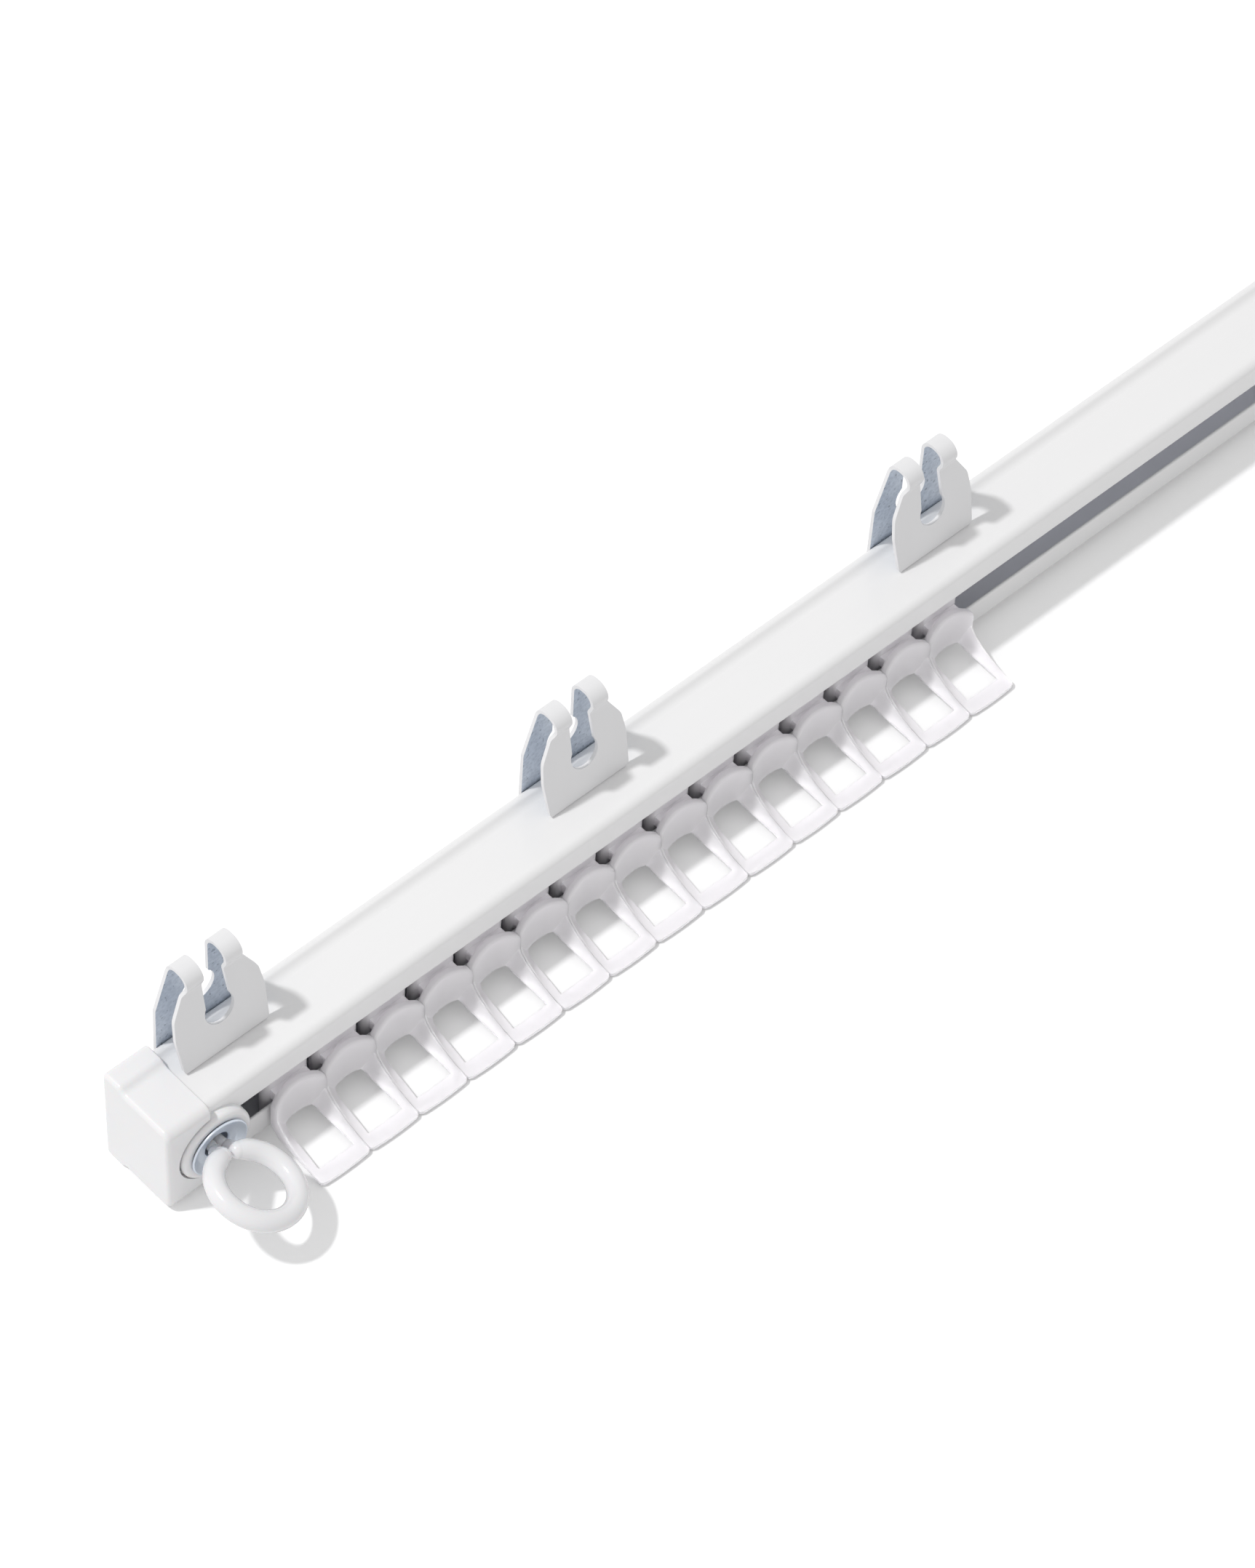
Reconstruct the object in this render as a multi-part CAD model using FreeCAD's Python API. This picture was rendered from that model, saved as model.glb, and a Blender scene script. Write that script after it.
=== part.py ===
import FreeCAD, Part
import math
import os

os.makedirs("parts", exist_ok=True)

# All sizes are in millimetres. The track lies on the floor as when it is unpacked: X runs along it,
# Y from the slot to the back, Z up. The origin is the middle of the rail's back face.

# Whole track
track_length = 400.8

# Rail, roll-formed from sheet
sheet_thickness = 0.6
rail_depth = 12.75
rail_half_height = 8.36
slot_width = 5.5
front_corner_radius = 1.4
ridge_rise = 0.79
ridge_flat = 1.05
ridge_run = 1.0
ridge_foot_radius = 1.8

# End caps
cap_length = 8.2
cap_wall = 1.0
cap_clearance = 0.05
cap_end_wall = 0.8
cap_corner_radius = 1.6
cap_edge_radius = 0.8
cap_back_radius = 1.2
cap_ridge_lead = 1.65
cap_ridge_radius = 1.3
cap_foot_radius = 1.6
tongue_depth = 4.0
tongue_clearance = 0.35

# Cord eye: collar, eyelet, backing block and ring
eye_inset = 8.84
collar_radius = 6.45
collar_thickness = 1.7
collar_rim_radius = 0.7
collar_relief_gap = 0.35
eyelet_sheet = 0.4
eyelet_bore = 2.2
eyelet_rim_radius = 5.2
eyelet_dish_radius = 4.0
eyelet_dish_depth = 0.55
eyelet_rim_lift = 0.75
eyelet_clench_radius = 3.8
eyelet_clearance = 0.05
backing_thickness = 2.75
backing_half_length = 5.5
backing_side_gap = 0.1
ring_radius = 6.52
ring_wire_radius = 1.7
ring_centre_reach = 8.68
ring_centre_drop = 0.5
ring_droop = 9.6
ring_roll = 20.3
nose_radius = 1.4
nose_angle = 13.5
taper_angle = 32.0
tip_radius = 1.15
tip_spread = 1.27
tip_gap = 0.3
leg_radius = 0.85
leg_spread = 0.97
leg_toe_reach = 3.2
leg_toe_gap = 0.3

# Gliders
glider_count = 15
glider_width = 9.6
glider_side_gap = 0.06
first_glider_inset = 24.5
glider_rim_z = 0.5
glider_rim_side_z = -1.1
glider_root_z = -1.2
glider_heel_z = -6.1
glider_knee_z = -8.1
glider_knee_reach = 2.7
glider_arch_reach = 0.35
glider_arch_sagitta = 0.95
glider_arch_wall = 1.45
glider_loop_length = 12.8
glider_floor_gap = 0.35
glider_bar_height = 0.65
glider_bar_depth = 2.55
glider_bar_bow = 0.15
glider_corner_radius = 0.8
glider_hole_half_width = 2.85
glider_hole_flare = 0.6
glider_hole_radius = 1.5
scoop_root_half_width = 4.45
scoop_end_half_width = 4.7
scoop_lip = 0.3
glider_rim_round = 0.45
glider_lip_gap = 0.3
neck_width = 6.7
neck_height = 2.15
neck_gap = 0.2
head_side_gap = 1.36
head_width = 8.7
head_thickness = 1.6
head_edge_radius = 1.3
head_gap = 0.4

# Ceiling clips of spring sheet, with their heights above the rail's face
clip_insets = (17.55, 89.3, 163.15)
clip_sheet = 0.6
clip_gap = 0.1
clip_foot_y = -6.2
clip_foot_half_width = 8.0
clip_half_width = 8.42
clip_waist_height = 7.14
clip_shoulder_half_width = 7.95
clip_shoulder_height = 10.84
clip_lean = 12.0
clip_crease_height = 14.54
clip_crease_radius = 1.2
clip_bulge_y = -4.15
clip_bulge_rise = 1.6
clip_bulge_radius = 1.2
clip_finger_straight = 0.2875
back_leg_half_width = 8.42
back_leg_shoulder_half_width = 7.9
back_leg_shoulder_height = 9.04
back_leg_finger_height = 17.04
clip_hook_reach = 2.2
finger_outer = 5.2
finger_gap = 4.2
keyhole_height = 7.99
front_hole_radius = 2.7
front_slit_half_width = 2.35
screw_hole_radius = 3.2

left_end = -track_length / 2
slot_face_y = -rail_depth
floor_z = -(rail_half_height + ridge_rise + cap_clearance + cap_wall)
eye_x = left_end + eye_inset


def vec(x, y, z):
    return FreeCAD.Vector(x, y, z)


def in_yz(corners, x=0.0):
    """Corners given as (y, z, radius), placed in the plane at x."""
    return [(vec(x, y, z), radius) for y, z, radius in corners]


def in_xy(corners, z=0.0):
    """Corners given as (x, y, radius), placed in the plane at z."""
    return [(vec(x, y, z), radius) for x, y, radius in corners]


def in_xz(corners, y=0.0):
    """Corners given as (x, z, radius), placed in the plane at y."""
    return [(vec(x, y, z), radius) for x, z, radius in corners]


def both_sides(half):
    """A symmetric closed outline from its right half, given as (x, second, radius)."""
    return half + [(-x, second, radius) for x, second, radius in reversed(half)]


def corner_points(before, corner, after, radius):
    """Start, middle and end of the arc that rounds one corner."""
    back = (before - corner).normalize()
    ahead = (after - corner).normalize()
    half_angle = back.getAngle(ahead) / 2
    inward = (back + ahead).normalize()
    reach = radius / math.tan(half_angle)
    middle = corner + inward * (radius / math.sin(half_angle) - radius)
    return corner + back * reach, middle, corner + ahead * reach


def rounded_edges(corners, closed):
    """Lines and tangent arcs through the corners."""
    count = len(corners)
    places = []
    for index, (corner, radius) in enumerate(corners):
        at_end = not closed and index in (0, count - 1)
        if at_end or radius == 0:
            places.append((corner, None, corner))
            continue
        before = corners[index - 1][0]
        after = corners[(index + 1) % count][0]
        places.append(corner_points(before, corner, after, radius))
    edges = []
    for index, (start, middle, end) in enumerate(places):
        if middle is not None:
            edges.append(Part.Arc(start, middle, end).toShape())
        is_last = index == count - 1
        if is_last and not closed:
            break
        following = places[(index + 1) % count][0]
        if (following - end).Length > 1e-6:
            edges.append(Part.LineSegment(end, following).toShape())
    return edges


def slab(corners, travel):
    """A solid with this closed outline, swept along the travel."""
    outline = Part.Wire(rounded_edges(corners, True))
    return Part.Face(outline).extrude(travel)


def strip_face(corners, thickness):
    """A strip of even thickness along an open path, with rounded ends."""
    path = Part.Wire(rounded_edges(corners, False))
    return Part.Face(path.makeOffset2D(thickness / 2))


def edges_at(shape, axis, value):
    """The edges that lie wholly where the axis has this value."""
    low = axis + "Min"
    high = axis + "Max"
    found = []
    for edge in shape.Edges:
        box = edge.BoundBox
        if abs(getattr(box, low) - value) < 0.01 and abs(getattr(box, high) - value) < 0.01:
            found.append(edge)
    return found


def mirrored(shape):
    """The same piece for the track's other end."""
    return shape.mirror(vec(0, 0, 0), vec(1, 0, 0))


def save(name, shape):
    shape.exportStep("parts/" + name + ".step")


# Rail

def rail_section():
    """Corners of the sheet's middle line, from the upper lip round the back to the lower lip."""
    half = sheet_thickness / 2
    front_y = slot_face_y + half
    face_z = rail_half_height - half
    ridge_z = face_z + ridge_rise
    upper = [
        (front_y, slot_width / 2 + half, 0),
        (front_y, face_z, front_corner_radius - half),
        (-ridge_flat - ridge_run, face_z, ridge_foot_radius + half),
        (-ridge_flat, ridge_z, half + 0.1),
        (-half, ridge_z, half + 0.1),
    ]
    lower = [(y, -z, radius) for y, z, radius in reversed(upper)]
    return upper + lower


def make_rail():
    start = left_end + cap_end_wall
    face = strip_face(in_yz(rail_section(), start), sheet_thickness)
    return face.extrude(vec(-2 * start, 0, 0))


# End caps

def cap_section(grow, front_radius, foot_radius, ridge_radius, back_radius):
    """Outline of the cap, this much outside the rail."""
    half = [
        (slot_face_y - grow, rail_half_height + grow, front_radius),
        (-ridge_flat - ridge_run - cap_ridge_lead, rail_half_height + grow, foot_radius),
        (-ridge_flat - cap_ridge_lead, rail_half_height + ridge_rise + grow, ridge_radius),
        (grow, rail_half_height + ridge_rise + grow, back_radius),
    ]
    lower = [(y, -z, radius) for y, z, radius in reversed(half)]
    return half + lower


def cap_tongue():
    """Block on the end wall that reaches into the channel behind the eyelet."""
    half = rail_half_height - sheet_thickness - tongue_clearance
    back_y = -sheet_thickness - tongue_clearance
    start = left_end + cap_end_wall
    length = cap_length - cap_end_wall
    return Part.makeBox(length, tongue_depth, 2 * half, vec(start, back_y - tongue_depth, -half))


def make_end_cap():
    outline = cap_section(cap_clearance + cap_wall, cap_corner_radius, cap_foot_radius,
                          cap_ridge_radius, cap_back_radius)
    outer = slab(in_yz(outline, left_end), vec(cap_length, 0, 0))
    outer = outer.makeFillet(cap_edge_radius, edges_at(outer, "X", left_end))
    mouth = edges_at(outer, "X", left_end + cap_length)
    outer = outer.makeFillet(cap_wall / 4, mouth)
    inline = cap_section(cap_clearance, front_corner_radius, sheet_thickness, sheet_thickness, sheet_thickness)
    cavity = slab(in_yz(inline, left_end + cap_end_wall), vec(cap_length, 0, 0))
    relief_y = slot_face_y - cap_clearance - cap_wall - 1
    relief = Part.makeCylinder(collar_radius + collar_relief_gap, cap_wall + 1.5,
                               vec(eye_x, relief_y, 0), vec(0, 1, 0))
    return outer.cut(cavity).cut(relief).fuse(cap_tongue())


# Cord eye

collar_front_y = slot_face_y - collar_thickness
dish_floor_y = collar_front_y + eyelet_dish_depth
lip_back_y = slot_face_y + sheet_thickness
backing_back_y = lip_back_y + backing_thickness
barrel_radius = eyelet_bore + eyelet_sheet


def make_collar():
    axis = vec(0, 1, 0)
    disc = Part.makeCylinder(collar_radius, collar_thickness, vec(eye_x, collar_front_y, 0), axis)
    disc = disc.makeFillet(collar_rim_radius, edges_at(disc, "Y", collar_front_y))
    floor_radius = eyelet_dish_radius + eyelet_clearance
    flare = (eyelet_rim_radius - eyelet_dish_radius) / eyelet_rim_lift
    recess = Part.makeCone(floor_radius + flare * eyelet_dish_depth, floor_radius, eyelet_dish_depth,
                           vec(eye_x, collar_front_y, 0), axis)
    bore = Part.makeCylinder(barrel_radius + eyelet_clearance, collar_thickness,
                             vec(eye_x, collar_front_y, 0), axis)
    return disc.cut(recess).cut(bore)


def make_eyelet():
    """Dished washer, barrel and clenched back flange, turned about the eye's axis."""
    half = eyelet_sheet / 2
    middle = eyelet_bore + half
    dish_y = dish_floor_y - half
    clench_y = backing_back_y + half
    path = [
        (eyelet_rim_radius - half, dish_y - eyelet_rim_lift, 0),
        (eyelet_dish_radius - half, dish_y, 0.8),
        (middle, dish_y, half + 0.02),
        (middle, clench_y, half + 0.02),
        (eyelet_clench_radius - half, clench_y, 0),
    ]
    turned = strip_face(in_xy(path), eyelet_sheet).revolve(vec(0, 0, 0), vec(0, 1, 0), 360)
    turned.translate(vec(eye_x, 0, 0))
    return turned


def make_backing():
    """Block behind the lips that the eyelet is clenched on."""
    half = rail_half_height - front_corner_radius - backing_side_gap
    block = Part.makeBox(2 * backing_half_length, backing_thickness, 2 * half,
                         vec(eye_x - backing_half_length, lip_back_y, -half))
    bore = Part.makeCylinder(barrel_radius + eyelet_clearance, backing_thickness,
                             vec(eye_x, lip_back_y, 0), vec(0, 1, 0))
    return block.cut(bore)


def ring_station(angle, radius, side):
    """Circular section of the ring wire at an angle from its point nearest the eyelet."""
    turn = math.radians(angle)
    centre = vec(side * ring_radius * math.sin(turn), ring_radius * math.cos(turn), 0)
    along = vec(side * math.cos(turn), -math.sin(turn), 0)
    return centre, Part.Wire(Part.makeCircle(radius, centre, along))


def ring_taper(side):
    """One end of the ring, thinned towards its rounded nose."""
    middle_angle = (taper_angle + nose_angle) / 2
    middle_radius = nose_radius + 0.7 * (ring_wire_radius - nose_radius)
    thick = ring_station(taper_angle, ring_wire_radius, side)[1]
    middle = ring_station(middle_angle, middle_radius, side)[1]
    centre, thin = ring_station(nose_angle, nose_radius, side)
    loft = Part.makeLoft([thick, middle, thin], True)
    return loft.fuse(Part.makeSphere(nose_radius, centre))


def make_ring():
    """The ring alone, flat and centred on the origin."""
    _, section = ring_station(taper_angle, ring_wire_radius, 1)
    turn = 360 - 2 * taper_angle
    body = Part.Face(section).revolve(vec(0, 0, 0), vec(0, 0, 1), -turn)
    return body.fuse([ring_taper(1), ring_taper(-1)])


def eye_leg(side, nose):
    """Tip in the eyelet's dish and thin leg through the barrel, with its toe bent out behind."""
    tip = vec(side * tip_spread, dish_floor_y - tip_gap - tip_radius, 0)
    entry = vec(side * leg_spread, dish_floor_y, 0)
    toe_y = backing_back_y + eyelet_sheet + leg_toe_gap + leg_radius
    heel = vec(side * leg_spread, toe_y, 0)
    toe = vec(side * leg_toe_reach, toe_y, 0)
    pieces = [
        Part.makeCone(nose_radius, tip_radius, (tip - nose).Length, nose, tip - nose),
        Part.makeSphere(tip_radius, tip),
    ]
    for start, end in ((tip, entry), (entry, heel), (heel, toe)):
        pieces.append(Part.makeCylinder(leg_radius, (end - start).Length, start, end - start))
        pieces.append(Part.makeSphere(leg_radius, end))
    return pieces


def make_eye():
    """Ring, noses and legs, hanging a little and turned a little in the eyelet."""
    place = FreeCAD.Placement(vec(0, slot_face_y - collar_thickness - ring_centre_reach, -ring_centre_drop),
                              FreeCAD.Rotation(vec(1, 0, 0), ring_droop))
    ring = make_ring()
    ring.Placement = place
    pieces = []
    for side in (1, -1):
        nose = place.multVec(ring_station(nose_angle, nose_radius, side)[0])
        pieces += eye_leg(side, nose)
    eye = ring.fuse(pieces)
    eye.rotate(vec(0, 0, 0), vec(0, 1, 0), ring_roll)
    eye.translate(vec(eye_x, 0, 0))
    return eye


# Gliders

glider_pitch = glider_width + glider_side_gap
arch_y = slot_face_y + glider_arch_reach
shoulder_y = arch_y - glider_arch_sagitta
arch_radius = (glider_width ** 2 / 4 + glider_arch_sagitta ** 2) / (2 * glider_arch_sagitta)
loop_end_y = arch_y - glider_loop_length
bar_bottom_z = floor_z + glider_floor_gap
bar_top_z = bar_bottom_z + glider_bar_height
neck_bottom_z = neck_gap - slot_width / 2
head_half_height = rail_half_height - sheet_thickness - head_side_gap


def arch_wall():
    """Curved wall in front of the slot, its top arched from side to side and rounded."""
    height = glider_rim_z - floor_z
    half = glider_width / 2
    base = vec(0, arch_y - arch_radius, floor_z)
    ring = Part.makeCylinder(arch_radius, height, base)
    ring = ring.cut(Part.makeCylinder(arch_radius - glider_arch_wall, height, base))
    reach = glider_arch_sagitta + 2 * glider_arch_wall
    side = glider_rim_side_z - floor_z
    front = [
        Part.LineSegment(vec(-half, 0, 0), vec(half, 0, 0)),
        Part.LineSegment(vec(half, 0, 0), vec(half, 0, side)),
        Part.Arc(vec(half, 0, side), vec(0, 0, height), vec(-half, 0, side)),
        Part.LineSegment(vec(-half, 0, side), vec(-half, 0, 0)),
    ]
    window = Part.Face(Part.Wire([line.toShape() for line in front])).extrude(vec(0, reach, 0))
    window.translate(vec(0, arch_y - reach, floor_z))
    wall = ring.common(window)
    along_top = []
    for edge in wall.Edges:
        box = edge.BoundBox
        if box.ZMax > glider_rim_z - 0.01 and box.XLength > half / 2:
            along_top.append(edge)
    return wall.makeFillet(glider_rim_round, along_top)


def slope_places():
    """Points down the bars' slope, which is steep at the arch and nearly flat at the outer bar."""
    root_y = arch_y - glider_arch_wall / 2
    places = []
    for along, down in ((0, 0), (0.05, 0.06), (0.1, 0.23), (0.2, 0.5), (0.5, 0.81), (0.8, 0.965), (1, 1)):
        y = root_y - along * (root_y - loop_end_y)
        places.append(vec(0, y, glider_root_z - down * (glider_root_z - bar_top_z)))
    return places


def bar_side():
    """Side view of the bars under their slope."""
    slope = slope_places()
    curve = Part.BSplineCurve()
    curve.interpolate(slope)
    low_end = vec(0, loop_end_y, floor_z)
    low_root = vec(0, slope[0].y, floor_z)
    edges = [curve.toShape()]
    for first, second in ((slope[-1], low_end), (low_end, low_root), (low_root, slope[0])):
        edges.append(Part.LineSegment(first, second).toShape())
    return Part.Wire(edges)


def underside_z(y):
    """Height of the loop's underside, from the heel by the lip over the knee to the outer bar."""
    lip_y = slot_face_y - glider_lip_gap
    knee_y = arch_y - glider_knee_reach
    if y > knee_y:
        share = (lip_y - y) / (lip_y - knee_y)
        return glider_heel_z + share * (glider_knee_z - glider_heel_z)
    share = (knee_y - y) / (knee_y - loop_end_y)
    return glider_knee_z + share * (bar_bottom_z - glider_knee_z)


def bar_scoop():
    """Trough down the middle of the slope. It leaves the hole a thin lip and runs out at the outer bar."""
    slope = slope_places()
    rings = []
    for index, place in enumerate(slope):
        if index == 1:
            continue
        share = (slope[0].y - place.y) / (slope[0].y - loop_end_y)
        half = scoop_root_half_width + share * (scoop_end_half_width - scoop_root_half_width)
        depth = (place.z - underside_z(place.y) - scoop_lip) * 1.4
        if index == len(slope) - 2:
            depth = depth / 2
        if index == len(slope) - 1:
            place = place - vec(0, 0.5, 0)
            depth = scoop_lip / 3
        high = place.z + 2
        low = place.z - depth * 4 / 3
        bowl = Part.BezierCurve()
        bowl.setPoles([vec(-half, place.y, place.z), vec(-0.6 * half, place.y, low),
                       vec(0.6 * half, place.y, low), vec(half, place.y, place.z)])
        edges = [bowl.toShape()]
        corners = [vec(half, place.y, place.z), vec(half, place.y, high), vec(-half, place.y, high),
                   vec(-half, place.y, place.z)]
        for first, second in zip(corners, corners[1:]):
            edges.append(Part.LineSegment(first, second).toShape())
        rings.append(Part.Wire(edges))
    return Part.makeLoft(rings, True)


def bar_plan():
    """Outline of the bars from above: arched inside the wall, slightly bowed at the outer bar."""
    half = glider_width / 2
    root = glider_arch_wall / 2
    corner_y = loop_end_y + glider_bar_bow + glider_corner_radius
    inset = half - glider_corner_radius
    turn = math.sqrt(0.5) * glider_corner_radius
    edges = [
        Part.Arc(vec(-half, shoulder_y - root, 0), vec(0, arch_y - root, 0), vec(half, shoulder_y - root, 0)),
        Part.LineSegment(vec(half, shoulder_y - root, 0), vec(half, corner_y, 0)),
        Part.Arc(vec(half, corner_y, 0), vec(inset + turn, corner_y - turn, 0),
                 vec(inset, corner_y - glider_corner_radius, 0)),
        Part.Arc(vec(inset, corner_y - glider_corner_radius, 0), vec(0, loop_end_y, 0),
                 vec(-inset, corner_y - glider_corner_radius, 0)),
        Part.Arc(vec(-inset, corner_y - glider_corner_radius, 0), vec(-inset - turn, corner_y - turn, 0),
                 vec(-half, corner_y, 0)),
        Part.LineSegment(vec(-half, corner_y, 0), vec(-half, shoulder_y - root, 0)),
    ]
    return Part.Wire([edge.toShape() for edge in edges])


def loop_hole():
    """The hole for the curtain hook, rounded at the slot end and square at the outer bar."""
    top_y = arch_y - glider_arch_wall + 0.1
    bottom_y = loop_end_y + glider_bar_depth
    half = [
        (glider_hole_half_width + glider_hole_flare, bottom_y, 0),
        (glider_hole_half_width, top_y, glider_hole_radius),
    ]
    return slab(in_xy(both_sides(half), floor_z - 1), vec(0, 0, glider_rim_z - floor_z + 2))


def loop_room():
    """The space the loop may fill: above its sloping underside and clear of the lower lip."""
    top_z = glider_rim_z + 1
    lip_y = slot_face_y - glider_lip_gap
    half = glider_width
    corners = [
        (loop_end_y, bar_bottom_z, 0),
        (arch_y - glider_knee_reach, glider_knee_z, 0),
        (lip_y, glider_heel_z, 0),
        (lip_y, neck_bottom_z, 0),
        (arch_y + 1, neck_bottom_z, 0),
        (arch_y + 1, top_z, 0),
        (loop_end_y, top_z, 0),
    ]
    return slab(in_yz(corners, -half), vec(2 * half, 0, 0))


def glider_loop():
    side = bar_side()
    side.translate(vec(-glider_width, 0, 0))
    bars = Part.Face(side).extrude(vec(2 * glider_width, 0, 0))
    plan = bar_plan()
    plan.translate(vec(0, 0, floor_z))
    bars = bars.common(Part.Face(plan).extrude(vec(0, 0, glider_rim_z - floor_z)))
    bars = bars.cut(bar_scoop()).cut(loop_hole())
    return bars.fuse(arch_wall()).common(loop_room())


def glider_head():
    """Neck through the slot and the broad head behind the lips."""
    head_y = lip_back_y + head_gap
    neck_y = arch_y - glider_arch_wall + 0.2
    neck = Part.makeBox(neck_width, head_y - neck_y, neck_height,
                        vec(-neck_width / 2, neck_y, neck_bottom_z))
    half = [
        (head_width / 2, head_y, head_edge_radius),
        (head_width / 2, head_y + head_thickness, 0),
    ]
    head = slab(in_xy(both_sides(half), -head_half_height), vec(0, 0, 2 * head_half_height))
    return neck.fuse(head)


def make_glider():
    return glider_loop().fuse(glider_head()).removeSplitter()


# Clips

clip_waist_z = rail_half_height + clip_waist_height
clip_shoulder_z = rail_half_height + clip_shoulder_height
clip_crease_z = rail_half_height + clip_crease_height
clip_bulge_z = clip_crease_z + clip_bulge_rise
back_leg_shoulder_z = rail_half_height + back_leg_shoulder_height
back_leg_finger_z = rail_half_height + back_leg_finger_height
keyhole_z = rail_half_height + keyhole_height
clip_back_y = clip_gap + clip_sheet / 2
clip_loop_radius = 0.45 * (clip_back_y - clip_bulge_y - clip_sheet / 2)
clip_crown_z = clip_bulge_z + clip_finger_straight + clip_loop_radius + clip_sheet / 2


def clip_side():
    """Middle line of the folded sheet, from the foot over the crown and down to the hook."""
    half = clip_sheet / 2
    foot_z = rail_half_height + clip_gap + half
    lean = math.tan(math.radians(clip_lean))
    hook_z = -(rail_half_height + ridge_rise + clip_gap + half)
    crown_z = clip_crown_z - half
    bulge_y = clip_bulge_y + half
    return [
        (clip_foot_y, foot_z, 0),
        (clip_foot_y + lean * (clip_crease_z - foot_z), clip_crease_z, clip_crease_radius),
        (bulge_y, clip_bulge_z, clip_bulge_radius),
        (bulge_y, crown_z, clip_loop_radius),
        (clip_back_y, crown_z, clip_loop_radius),
        (clip_back_y, hook_z, half + 0.15),
        (clip_back_y - clip_hook_reach, hook_z, 0),
    ]


def front_leg_outline():
    """Front view of the front leg and its fingers, without the keyhole."""
    return both_sides([
        (clip_foot_half_width, rail_half_height, 1.2),
        (clip_half_width, clip_waist_z, 6.0),
        (clip_shoulder_half_width, clip_shoulder_z, 3.0),
        (finger_outer, clip_crease_z + 1, 1.4),
        (finger_outer, clip_crown_z + 1, 0),
    ])


def back_leg_outline():
    """Front view of the back leg and its fingers, without the keyhole."""
    return both_sides([
        (back_leg_half_width, floor_z - 1, 0),
        (back_leg_shoulder_half_width, back_leg_shoulder_z, 1.5),
        (finger_outer, back_leg_finger_z, 1.0),
        (finger_outer, clip_crown_z + 1, 0),
    ])


def clip_keyhole(from_y, to_y, hole_radius, low_half, high_half):
    """Round hole with a slit up to the gap between the fingers."""
    travel = vec(0, to_y - from_y, 0)
    hole = Part.makeCylinder(hole_radius, to_y - from_y, vec(0, from_y, keyhole_z), vec(0, 1, 0))
    slit = slab(in_xz(both_sides([(low_half, keyhole_z, 0), (high_half, clip_crease_z, 0)]), from_y), travel)
    return hole.fuse(slit)


def make_clip():
    side = strip_face(in_yz(clip_side(), -clip_half_width - 1), clip_sheet)
    folded = side.extrude(vec(2 * clip_half_width + 2, 0, 0))
    front_y = clip_foot_y - 2
    back_y = clip_gap + clip_sheet + 1
    middle_y = (clip_bulge_y + clip_gap + clip_sheet) / 2
    front = slab(in_xz(front_leg_outline(), front_y), vec(0, middle_y - front_y, 0))
    back = slab(in_xz(back_leg_outline(), middle_y), vec(0, back_y - middle_y, 0))
    clip = folded.common(front.fuse(back))
    between = Part.makeBox(finger_gap, back_y - front_y, clip_crown_z,
                           vec(-finger_gap / 2, front_y, clip_crease_z - 0.01))
    clip = clip.cut(clip_keyhole(front_y, middle_y, front_hole_radius, front_slit_half_width,
                                 finger_gap / 2))
    clip = clip.cut(clip_keyhole(middle_y, back_y, screw_hole_radius, finger_gap / 2, finger_gap / 2))
    return clip.cut(between)


# Writing the pieces

save("rail", make_rail())

end_pieces = {
    "end_cap": make_end_cap(),
    "eye_collar": make_collar(),
    "eyelet": make_eyelet(),
    "eye_backing": make_backing(),
    "eye": make_eye(),
}
for name, shape in end_pieces.items():
    save(name + "_left", shape)
    save(name + "_right", mirrored(shape))

glider = make_glider()
for number in range(1, glider_count + 1):
    placed = glider.copy()
    placed.translate(vec(left_end + first_glider_inset + glider_pitch * (number - 1), 0, 0))
    save("glider_%02d" % number, placed)

clip = make_clip()
for number, inset in enumerate(clip_insets, start=1):
    placed = clip.copy()
    placed.translate(vec(left_end + inset, 0, 0))
    save("clip_%d" % number, placed)
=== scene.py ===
import math

import bpy
from mathutils import Matrix, Vector


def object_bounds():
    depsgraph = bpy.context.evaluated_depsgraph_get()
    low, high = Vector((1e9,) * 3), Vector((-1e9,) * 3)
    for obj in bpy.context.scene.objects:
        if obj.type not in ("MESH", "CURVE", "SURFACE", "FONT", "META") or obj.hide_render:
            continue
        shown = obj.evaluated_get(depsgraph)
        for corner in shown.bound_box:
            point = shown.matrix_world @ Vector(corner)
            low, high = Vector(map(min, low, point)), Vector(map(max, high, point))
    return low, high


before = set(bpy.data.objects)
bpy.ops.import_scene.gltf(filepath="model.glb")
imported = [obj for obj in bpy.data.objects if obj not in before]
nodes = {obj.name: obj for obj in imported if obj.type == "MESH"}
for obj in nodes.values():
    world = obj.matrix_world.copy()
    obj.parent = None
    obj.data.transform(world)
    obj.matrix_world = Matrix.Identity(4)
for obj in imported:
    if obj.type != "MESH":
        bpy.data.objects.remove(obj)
cad_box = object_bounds()


# Rail: one length of white enamelled sheet steel, rolled into a C with a low ridge along both back
# edges. The enamel is smooth and glossy with a faint orange peel and fainter lines from the rolls.
# The inside of the channel is painted a lighter, bluer white than the outside. This is painted
# light that lifts the shade inside the channel and gives it a bluish cast.

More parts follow.
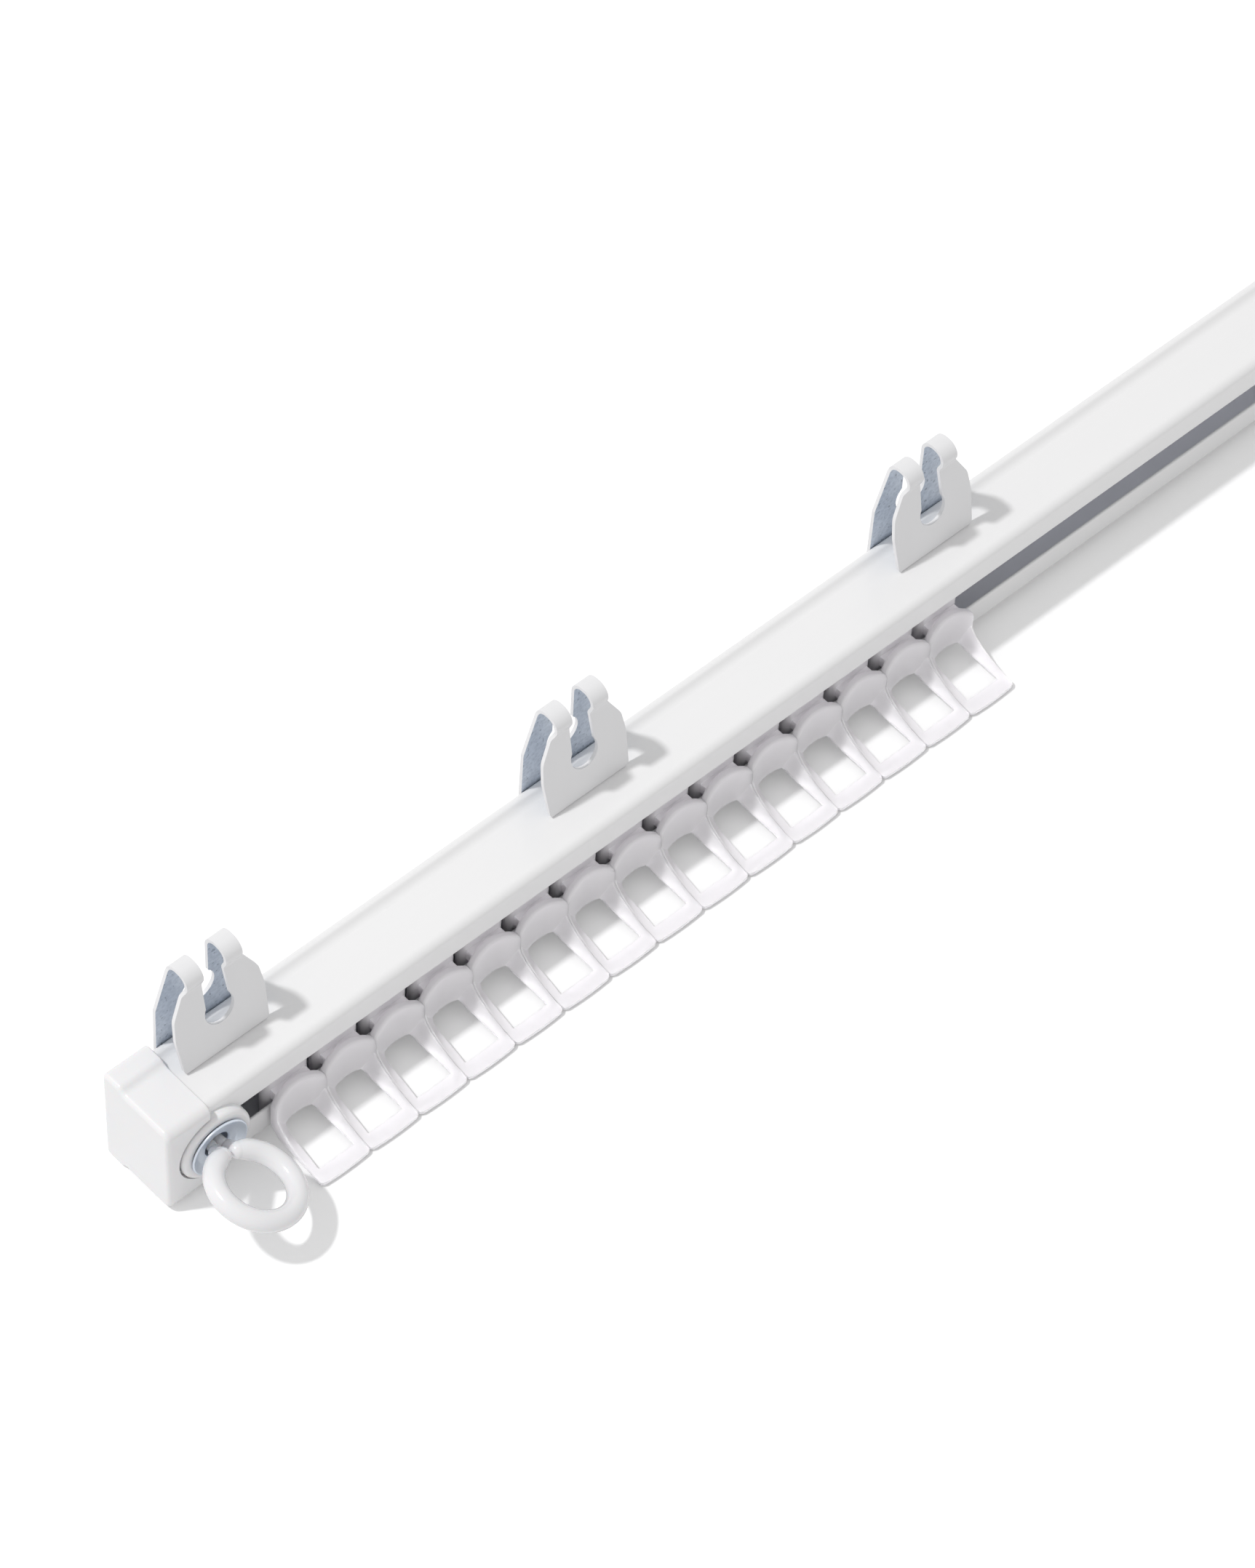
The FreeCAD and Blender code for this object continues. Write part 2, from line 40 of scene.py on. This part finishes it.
class Line:
    """A value in a material, on which plain arithmetic adds the maths nodes."""

    def __init__(self, tree, socket):
        self.tree = tree
        self.socket = socket

    def maths(self, operation, other=0.0, swapped=False):
        node = self.tree.nodes.new("ShaderNodeMath")
        node.operation = operation
        first, second = (other, self) if swapped else (self, other)
        feed(node.inputs[0], first)
        feed(node.inputs[1], second)
        return Line(self.tree, node.outputs[0])

    def __add__(self, other): return self.maths("ADD", other)
    def __radd__(self, other): return self.maths("ADD", other, True)
    def __sub__(self, other): return self.maths("SUBTRACT", other)
    def __rsub__(self, other): return self.maths("SUBTRACT", other, True)
    def __mul__(self, other): return self.maths("MULTIPLY", other)
    def __rmul__(self, other): return self.maths("MULTIPLY", other, True)
    def __abs__(self): return self.maths("ABSOLUTE")

    def above(self, level):
        return self.maths("MAXIMUM", level)

    def share(self, low, high):
        """How far the value is on its way from low to high, from 0 to 1."""
        return ((self - low) * (1 / (high - low))).above(0.0).maths("MINIMUM", 1.0)


def feed(socket, value):
    """Link a line to this socket, or type the plain value into it."""
    if isinstance(value, Line):
        value.tree.links.new(value.socket, socket)
    else:
        socket.default_value = value


class Finish:
    """A material with its main shader, and one way to add any other node."""

    def __init__(self, name, **uniform):
        self.material = bpy.data.materials.new(name)
        self.material.use_nodes = True
        self.tree = self.material.node_tree
        self.tree.nodes.clear()
        self.shader = self.tree.nodes.new("ShaderNodeBsdfPrincipled")
        surface = self.tree.nodes.new("ShaderNodeOutputMaterial").inputs["Surface"]
        self.tree.links.new(self.shader.outputs[0], surface)
        self.set(**uniform)

    def set(self, **values):
        for name, value in values.items():
            feed(self.shader.inputs[name.replace("_", " ")], value)

    def node(self, kind, settings=None, values=None, output=0):
        """A node of this type, its settings made before its sockets are filled."""
        node = self.tree.nodes.new("ShaderNode" + kind)
        for name, value in (settings or {}).items():
            setattr(node, name, value)
        for name, value in (values or {}).items():
            feed(node.inputs[name], value)
        return Line(self.tree, node.outputs[output])

    def place(self):
        return self.node("TexCoord", output="Object")

    def part_of(self, vector, axis):
        return self.node("SeparateXYZ", values={"Vector": vector}, output=axis)

    def noise(self, scale, detail=3.0, stretch=None):
        vector = self.place()
        if stretch is not None:
            vector = self.node("Mapping", values={"Vector": vector, "Scale": stretch})
        return self.node("TexNoise", values={"Vector": vector, "Scale": scale, "Detail": detail})

    def blend(self, factor, first, second):
        colours = {0: factor, 6: first, 7: second}
        return self.node("Mix", {"data_type": "RGBA"}, colours, output=2)

    def bump(self, height, strength, depth):
        relief = {"Height": height, "Strength": strength, "Distance": depth}
        self.set(Normal=self.node("Bump", values=relief))


def coat(names, finish):
    for name in names:
        slots = nodes[name].data.materials
        slots.clear()
        slots.append(finish.material)


white_enamel = (0.83, 0.827, 0.829, 1), (0.86, 0.857, 0.859, 1)
painted_channel_light = (0.9, 0.91, 0.96, 1), (0.93, 0.94, 0.98, 1)
wall_outside, wall_inside = 0.0081, 0.0079
lip_front, lip_back = -0.0122, -0.01216
back_sheet, channel_floor = -0.0002, -0.0005

enamel = Finish("white_enamel", IOR=1.5, Coat_Roughness=0.12)
mottle = enamel.noise(60.0, 2.0)
rolled = enamel.noise(500.0, 2.0, stretch=(0.01, 1.0, 1.0))
outer = enamel.blend(0.6 * mottle + 0.4 * rolled, *white_enamel)
# Behind the lips the channel gets a lighter, bluer colour: painted light lifting the channel's
# shade.
painted_channel_fill = enamel.blend(rolled, *painted_channel_light)
between_walls = abs(enamel.part_of(enamel.place(), "Z")).share(wall_outside, wall_inside)
depth = enamel.part_of(enamel.place(), "Y")
behind_lips = depth.share(lip_front, lip_back) * depth.share(back_sheet, channel_floor)
enamel.set(Base_Color=enamel.blend(between_walls * behind_lips, outer, painted_channel_fill))
enamel.set(Roughness=0.28 + 0.08 * enamel.noise(220.0) + 0.06 * rolled)
enamel.set(Coat_Weight=0.25 + 0.1 * mottle)
enamel.bump(enamel.noise(900.0, 1.0) + 0.5 * rolled, 0.1, 0.00002)
coat(["rail"], enamel)


# End caps and eye collars: white glossy mouldings pressed on the rail's ends, with the faint flow
# marks of a small moulding. The backing blocks behind the lips are the same plastic.

white_plastic = (0.825, 0.82, 0.828, 1), (0.85, 0.845, 0.853, 1)
ends = ("left", "right")

moulding = Finish("white_moulding", IOR=1.46, Subsurface_Weight=0.1, Subsurface_Scale=0.001)
flow = moulding.noise(70.0, 1.0, stretch=(1.0, 0.4, 1.0))
moulding.set(Base_Color=moulding.blend(flow, *white_plastic))
moulding.set(Roughness=0.2 + 0.08 * moulding.noise(160.0, 1.0))
moulding.bump(flow, 0.06, 0.00004)
for end in ends:
    coat(["end_cap_" + end, "eye_collar_" + end, "eye_backing_" + end], moulding)


# Eyelets: thin steel washers with a turned barrel, bright zinc plated. The barrel goes through the
# collar and the slot, and is clenched on the backing block behind the lips.

zinc_plate = (0.64, 0.7, 0.78, 1), (0.78, 0.83, 0.9, 1)

zinc = Finish("bright_zinc", Metallic=0.9)
crystals = zinc.noise(500.0, 2.0)
zinc.set(Base_Color=zinc.blend(crystals, *zinc_plate))
zinc.set(Roughness=0.26 + 0.14 * crystals)
zinc.bump(crystals, 0.08, 0.00003)
for end in ends:
    coat(["eyelet_" + end], zinc)


# Cord eyes: thick wire rings under a smooth white coating that pools a little. Both ends of the
# wire are thinned and go side by side through the eyelet, in which the ring turns.

white_coating = (0.8, 0.797, 0.81, 1), (0.83, 0.827, 0.84, 1)

dipped = Finish("dipped_coating", IOR=1.5, Coat_Roughness=0.05,
                Subsurface_Weight=0.08, Subsurface_Scale=0.001)
pooling = dipped.noise(110.0, 1.0)
dipped.set(Base_Color=dipped.blend(pooling, *white_coating))
dipped.set(Roughness=0.16 + 0.06 * pooling)
dipped.set(Coat_Weight=0.5 + 0.2 * pooling)
dipped.bump(pooling, 0.08, 0.00006)
for end in ends:
    coat(["eye_" + end], dipped)


# Gliders: small milky mouldings that let some light through, each a loop for the curtain hook, a
# neck through the slot and a broad head behind the lips.

glider_count = 15
milky_white = (0.785, 0.768, 0.792, 1), (0.81, 0.794, 0.816, 1)

milky = Finish("milky_plastic", IOR=1.5, Subsurface_Weight=1.0, Subsurface_Scale=0.002,
               Subsurface_Radius=(1.0, 0.97, 1.0))
milky.shader.subsurface_method = "BURLEY"
cloud = milky.noise(150.0, 2.0)
milky.set(Base_Color=milky.blend(cloud, *milky_white))
milky.set(Roughness=0.34 + 0.12 * cloud)
milky.bump(milky.noise(500.0, 1.0), 0.06, 0.00003)
coat(["glider_%02d" % number for number in range(1, glider_count + 1)], milky)


# Ceiling clips: galvanised spring sheet, punched and folded over. The outside and the cut edges are
# lacquered white, and the inside of the fold is bare zinc with a fine bluish spangle.

white_lacquer = (0.775, 0.773, 0.782, 1), (0.805, 0.803, 0.812, 1)
bare_zinc = (0.58, 0.63, 0.7, 1), (0.74, 0.79, 0.86, 1)
dark_speck = (0.26, 0.3, 0.36, 1)
fold_y, fold_z = -0.00175, 0.0246
lacquer_end, zinc_start = -0.0002, -0.0005

lacquer = Finish("lacquered_spring_sheet", Coat_Roughness=0.2)
facing = lacquer.node("NewGeometry", output="Normal")
inward = (lacquer.part_of(lacquer.place(), "Y") - fold_y) * lacquer.part_of(facing, "Y")
over = (lacquer.part_of(lacquer.place(), "Z") - fold_z).above(0.0) * lacquer.part_of(facing, "Z")
bare = (inward + over).share(lacquer_end, zinc_start)
drawn = lacquer.noise(250.0, 2.0, stretch=(1.0, 1.0, 0.15))
white = lacquer.blend(drawn, *white_lacquer)
spangle = lacquer.node("TexVoronoi", output="Distance",
                       values={"Vector": lacquer.place(), "Scale": 1400.0})
grain = lacquer.noise(2200.0, 3.0)
metal = lacquer.blend((0.5 * spangle + 0.8 * grain).share(0.35, 0.85), *bare_zinc)
specks = lacquer.noise(1300.0, 1.0).share(0.66, 0.72)
metal = lacquer.blend(0.6 * specks, metal, dark_speck)
lacquer.set(Base_Color=lacquer.blend(bare, white, metal))
lacquer.set(Metallic=0.75 * bare)
lacquer.set(Roughness=0.3 + 0.1 * drawn + bare * (0.05 + 0.2 * grain))
lacquer.set(Coat_Weight=0.3 * (1 - bare))
lacquer.bump(drawn + bare * spangle, 0.08, 0.00003)
coat(["clip_1", "clip_2", "clip_3"], lacquer)


# Floor: a plain white paper sweep under the lying track. The camera sees it a little brighter than
# it is lit, so that it ends in white and keeps the track's soft shadow.

floor_size = 12
floor_z = cad_box[0][2]
floor_lift = 0.16

bpy.ops.object.select_all(action="DESELECT")
bpy.ops.mesh.primitive_plane_add(size=floor_size, location=(0, 0, floor_z))
floor = bpy.context.active_object
floor.name = "floor"
paper = Finish("white_paper", Roughness=0.9, Specular_IOR_Level=0.1,
               Base_Color=(0.9, 0.9, 0.9, 1), Emission_Color=(1, 1, 1, 1))
paper.set(Emission_Strength=floor_lift * paper.node("LightPath", output="Is Camera Ray"))
floor.data.materials.append(paper.material)


# Light: an even white room, and one small lamp high up behind the track on its left. The room is
# plain white to the camera and in reflections, and lights the track at a lower level.

room_light, room_seen = 0.62, 1.0

world = bpy.data.worlds.new("room")
bpy.context.scene.world = world
world.use_nodes = True
room = world.node_tree
room.nodes.clear()
path = room.nodes.new("ShaderNodeLightPath")
straight = Line(room, path.outputs["Is Camera Ray"])
for ray in ("Is Glossy Ray", "Is Transmission Ray"):
    straight = straight.maths("MAXIMUM", Line(room, path.outputs[ray]))
sky = room.nodes.new("ShaderNodeBackground")
feed(sky.inputs["Color"], (1, 1, 1, 1))
feed(sky.inputs["Strength"], room_light + (room_seen - room_light) * straight)
surroundings = room.nodes.new("ShaderNodeOutputWorld")
room.links.new(sky.outputs[0], surroundings.inputs["Surface"])

lamp_aim = Vector((-0.1, 0, 0))
lamp_way = Vector((-0.5, 0.28, 1.0)).normalized()
lamp_distance = 2.5

bpy.ops.object.light_add(type="AREA", location=lamp_aim + lamp_distance * lamp_way)
lamp = bpy.context.active_object
lamp.name = "key"
lamp.data.shape = "DISK"
lamp.data.size = 0.15
lamp.data.energy = 29.5
lamp.rotation_euler = lamp_way.to_track_quat("Z", "Y").to_euler()


# Camera: a long lens high over the left end, looking along the track to the right. The picture's
# width and the focal length are in the photograph's own pixels.

turn, height, roll = 0.795, 0.9105, 0.0634
eye_point = Vector((-0.47672, -0.37304, 0.67757))
picture_width, focal_length = 1725, 7663
sensor_width = 36

right = Vector((math.cos(turn), -math.sin(turn), 0))
up = Vector((math.sin(turn) * math.sin(height), math.cos(turn) * math.sin(height),
             math.cos(height)))
back = right.cross(up)
tilted_right = math.cos(roll) * right + math.sin(roll) * up
tilted_up = math.cos(roll) * up - math.sin(roll) * right
turned = Matrix((tilted_right, tilted_up, back)).transposed().to_4x4()
bpy.ops.object.camera_add()
camera = bpy.context.active_object
camera.matrix_world = Matrix.Translation(eye_point) @ turned
camera.data.sensor_fit = "HORIZONTAL"
camera.data.sensor_width = sensor_width
camera.data.lens = focal_length / picture_width * sensor_width
camera.data.clip_start = 0.01
camera.data.clip_end = 50
bpy.context.scene.camera = camera
bpy.context.scene.view_settings.view_transform = "Standard"
